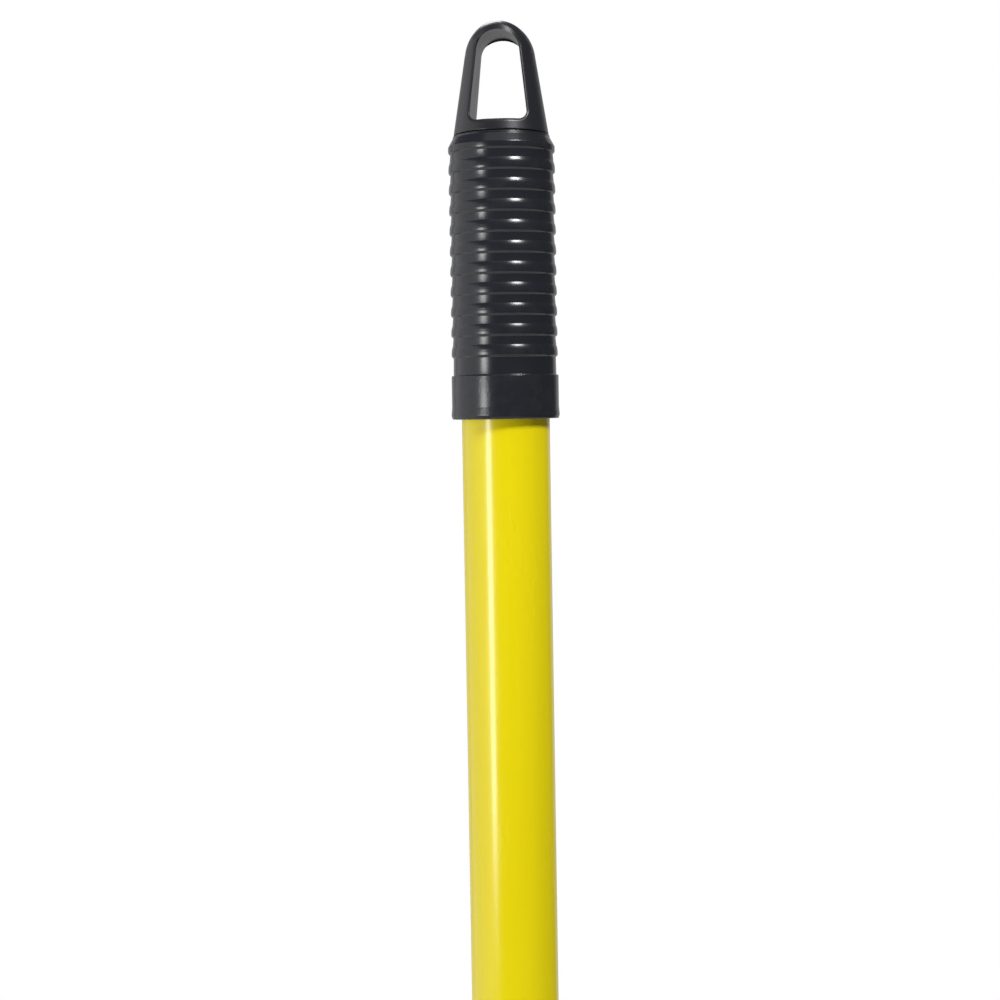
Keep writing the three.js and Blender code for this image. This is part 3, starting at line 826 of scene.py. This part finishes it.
def lock_collar():
    """The twist collar: fluted outside, threaded inside, with a floor that carries the wiper."""
    bottom, top, outer = low("lock_collar"), high("lock_collar"), reach("lock_collar")
    mouth = inner_reach("lock_collar")
    skirt, chamber, floor = 15.25, 14.35, bottom + 5
    ring_height = middle_height("collar_snap_ring")
    wiper_height = middle_height("wiper_ring")
    ring_groove, ring_gap = 16.1, 1
    wiper_groove, wiper_gap = 13.05, 1.25
    flutes = flute_rows(outer, 0.8, FLUTES, bottom + 3.5, top - 10.5, fade=3)
    thread = thread_rows(
        bottom + 14, bottom + 25, LOCK_PITCH, skirt, chamber, land=0.25, base=0.475, phase=0.75
    )
    corners = [
        (mouth, bottom, 0.6),
        (mouth + 3.4, bottom, 2),
        (outer - 0.5, bottom + 0.5, 0.8),
        (outer, bottom + 2.4, 0.8),
        *flutes,
        (outer, top, 0.6),
        (skirt, top, 0.3),
        (skirt, ring_height + ring_gap),
        (ring_groove, ring_height + ring_gap),
        (ring_groove, ring_height - ring_gap),
        (skirt, ring_height - ring_gap),
        *reversed(thread),
        (chamber, bottom + 13),
        (chamber, floor, 0.6),
        (mouth, floor),
        (mouth, wiper_height + wiper_gap),
        (wiper_groove, wiper_height + wiper_gap),
        (wiper_groove, wiper_height - wiper_gap),
        (mouth, wiper_height - wiper_gap),
    ]
    return revolve("twist_collar", soften(corners))


def wire_ring(name, node):
    """A round ring of round wire, the size of a CAD node."""
    sides = 20
    section = (high(node) - low(node)) / 2
    centre = reach(node) - section
    rows = []
    for side in range(sides):
        angle = 2 * math.pi * side / sides
        height = middle_height(node) + section * math.sin(angle)
        rows.append((centre + section * math.cos(angle), height))
    return revolve(name, rows, COARSE)


# ---------------------------------------------------------------- screw tip


def tip_ferrule():
    """The collar between the tube and the thread, with grip flutes and a rivet on each side."""
    bottom, top, outer = low("tip_ferrule"), high("tip_ferrule"), reach("tip_ferrule")
    hole = inner_reach("tip_ferrule")
    bore = reach("inner_tube") + CLEARANCE
    face, floor = 11.7, bottom + 2.7
    corners = [
        (hole, bottom, 0.2),
        (face, bottom, 0.4),
        (outer, bottom + 0.8, 0.5),
        *flute_rows(outer, 0.45, FLUTES, bottom + 6.5, top - 4.5, fade=3),
        (outer, top - 1.6, 0.6),
        (outer - 0.8, top, 0.5),
        (bore, top, 0.2),
        (bore, floor),
        (hole, floor),
    ]
    made = revolve("tip_ferrule_shell", soften(corners))
    cut_rivet_seats(made, middle_height("tip_rivet_left"), seat_distance=11.75)
    return made


def screw_tip():
    """The moulded stud: 3/4 inch, 5 threads to the inch, with its plug inside the tube."""
    top = high("threaded_tip")
    crest = reach("threaded_tip")
    root, pitch = 7.1, 5.08
    plug = inner_reach("inner_tube") - CLEARANCE
    end_face, end_hollow, core, core_floor = 6.4, 0.6, 6.2, 32
    thread_start, thread_end = 1.2, 21.5
    corners = [
        (0, end_hollow),
        (2.4, end_hollow, 0.3),
        (2.8, 0, 0.3),
        (end_face, 0, 0.5),
        (root, 0.8, 0.3),
        *thread_rows(thread_start, thread_end, pitch, root, crest, land=0.3, base=0.66),
        (root, thread_end + 0.3),
        (plug, thread_end + 1, 0.4),
        (plug, top, 0.3),
        (core, top, 0.3),
        (core, core_floor, 0.8),
        (0, core_floor),
    ]
    made = revolve("screw_tip", soften(corners, closed=False), segments=144, wrap=False)
    carve(made, rivet_drill(middle_height("tip_rivet_left")))
    return made


# ---------------------------------------------------------------- pieces


def add(piece, body, node, material):
    """Puts a piece on a body and finish, and in place of a CAD node if it has one."""
    piece.data.materials.clear()
    piece.data.materials.append(material)
    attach(piece, body)
    if node:
        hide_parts(node)


def repaint(node, material):
    """Keeps a CAD node's mesh and gives it a finish."""
    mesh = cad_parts[node].data
    mesh.materials.clear()
    mesh.materials.append(material)


def assemble():
    """Makes every finish and piece, body by body, then repaints the CAD nodes that stay."""
    loop_look, grip_look, paint = loop_plastic(), grip_plastic(), tube_paint()
    lock_look, collar_look, tip_look = lock_plastic(), collar_plastic(), tip_plastic()
    steel = zinced_steel()
    aluminium = bright_metal("rivet_aluminium", (0.62, 0.62, 0.63), 0.34)
    spring_steel = bright_metal("spring_steel", (0.55, 0.56, 0.57), 0.28)
    nylon = pale_plastic("nylon", (0.76, 0.73, 0.64), 0.45)
    acetal = pale_plastic("acetal", (0.70, 0.67, 0.58), 0.38)

    add(hanging_loop(), "handle", "hanger_cap", loop_look)
    add(loop_spigot(), "handle", None, loop_look)
    add(grip_sleeve(), "handle", "grip_sleeve", grip_look)
    outer_tube = plain_tube("painted_tube", "outer_tube")
    carve(outer_tube, rivet_drill(middle_height("lock_rivet_left")))
    add(outer_tube, "handle", "outer_tube", paint)
    add(lock_sleeve(), "handle", "lock_body", lock_look)
    add(lock_collar(), "collar", "lock_collar", collar_look)
    add(wire_ring("wiper", "wiper_ring"), "collar", "wiper_ring", wiper_rubber())
    snap_ring = wire_ring("snap_ring", "collar_snap_ring")
    add(snap_ring, "collar", "collar_snap_ring", spring_steel)

    inner_tube = plain_tube("steel_tube", "inner_tube")
    carve(inner_tube, rivet_drill(middle_height("tip_rivet_left")))
    add(inner_tube, "inner_section", "inner_tube", steel)
    add(tip_ferrule(), "inner_section", "tip_ferrule", tip_look)
    add(screw_tip(), "inner_section", "threaded_tip", tip_look)

    for side, hand in ((-1, "left"), (1, "right")):
        for place, body in (("lock", "handle"), ("tip", "inner_section")):
            node = f"{place}_rivet_{hand}"
            head = rivet(f"{place}_blind_rivet_{hand}", node, side)
            add(head, body, node, aluminium)

    for node in ("stop_sleeve", "glide_ring_lower", "glide_ring_upper"):
        repaint(node, nylon)
    for node in ("collet", "guide_plug"):
        repaint(node, acetal)
    for node in ("thrust_washer", "guide_plug_pin"):
        repaint(node, spring_steel)


# ---------------------------------------------------------------- floor, light and camera

# Places and sizes are in metres from here on. The floor lies below the tip of the pole drawn out.
FLOOR_HEIGHT = -0.46
FLOOR_RADIUS = 1.5
CAMERA_LENS = 68.4
CAMERA_TURN = math.radians(5)
CAMERA_DISTANCE = 0.5413
CAMERA_HEIGHT = low("grip_sleeve") * MM + 0.003
TILT_DOWN = math.radians(2.76)
LOOK_ASIDE = math.radians(0.215)
CAMERA_ROLL = math.radians(-0.955)


def add_floor():
    """A pale round floor, below the pole's reach when it is drawn out."""
    bpy.ops.mesh.primitive_circle_add(
        vertices=96, radius=FLOOR_RADIUS, fill_type="NGON", location=(0, 0, FLOOR_HEIGHT)
    )
    floor = bpy.context.object
    floor.name = "floor"
    surface = Finish("floor", (0.92, 0.92, 0.91), 0.7, emission_strength=0.14)
    surface.shader.inputs["Emission Color"].default_value = (1, 1, 1, 1)
    surface.tint(surface.patches(NOISE_LOW, NOISE_HIGH, 120), (0.9, 0.9, 0.895), 0.5)
    floor.data.materials.append(surface.material)


def softbox(name, turn, elevation, size, radiance, distance=1.6, aim=0.5):
    """A rectangular soft light that shines at a height on the pole's axis. Turn and elevation are in
    degrees. Turn counts from the camera's side of the pole, towards +X."""
    light = bpy.data.lights.new(name, "AREA")
    light.shape = "RECTANGLE"
    light.size, light.size_y = size
    light.energy = radiance * math.pi * size[0] * size[1]
    lamp = bpy.data.objects.new(name, light)
    angle = CAMERA_TURN + math.radians(turn)
    rise = math.radians(elevation)
    level = distance * math.cos(rise)
    lamp.location = (level * math.sin(angle), -level * math.cos(angle), aim + distance * math.sin(rise))
    towards = Vector((0, 0, aim)) - lamp.location
    lamp.rotation_euler = towards.to_track_quat("-Z", "Y").to_euler()
    lamp.visible_camera = False
    bpy.context.collection.objects.link(lamp)


def light_studio():
    """A tall strip and a wide panel on the left, a small key high on the right, a faint fill from
    above, a lit backdrop, a key from high behind, and dim surroundings behind a white background."""
    softbox("strip", -47, 0, (0.34, 0.68), 13, aim=0.42)
    softbox("side_panel", -96, 0, (2.6, 2.2), 0.85)
    softbox("key", 34, 44, (0.42, 0.38), 44)
    softbox("top_fill", 0, 70, (1.5, 1.5), 0.5)
    softbox("backdrop_light", 180, 0, (3.4, 2.8), 0.48, distance=2)
    softbox("back_key", 195, 55, (0.8, 0.8), 7)
    world = bpy.data.worlds.new("studio")
    world.use_nodes = True
    bpy.context.scene.world = world
    nodes, links = world.node_tree.nodes, world.node_tree.links
    white, dim = (1, 1, 1, 1), (0.07, 0.07, 0.072, 1)
    seen = nodes["Background"]
    seen.inputs["Color"].default_value = white
    around = nodes.new("ShaderNodeBackground")
    around.inputs["Color"].default_value = dim
    path = nodes.new("ShaderNodeLightPath")
    mix = nodes.new("ShaderNodeMixShader")
    links.new(path.outputs["Is Camera Ray"], mix.inputs[0])
    links.new(around.outputs[0], mix.inputs[1])
    links.new(seen.outputs[0], mix.inputs[2])
    links.new(mix.outputs[0], nodes["World Output"].inputs["Surface"])
    bpy.context.scene.view_settings.view_transform = "Standard"


def add_camera():
    """The camera stands just above the grip's lower edge, turned and tilted a little."""
    camera = bpy.data.objects.new("camera", bpy.data.cameras.new("camera"))
    camera.data.lens = CAMERA_LENS
    camera.data.sensor_width = 36
    camera.data.clip_start = 0.01
    place = Matrix.Rotation(CAMERA_TURN, 4, "Z")
    place @= Matrix.Translation((0, -CAMERA_DISTANCE, CAMERA_HEIGHT))
    place @= Matrix.Rotation(math.pi / 2, 4, "X")
    place @= Matrix.Rotation(LOOK_ASIDE, 4, "Y")
    place @= Matrix.Rotation(-TILT_DOWN, 4, "X")
    place @= Matrix.Rotation(CAMERA_ROLL, 4, "Z")
    camera.matrix_world = place
    bpy.context.collection.objects.link(camera)
    bpy.context.scene.camera = camera


assemble()
add_floor()
light_studio()
add_camera()
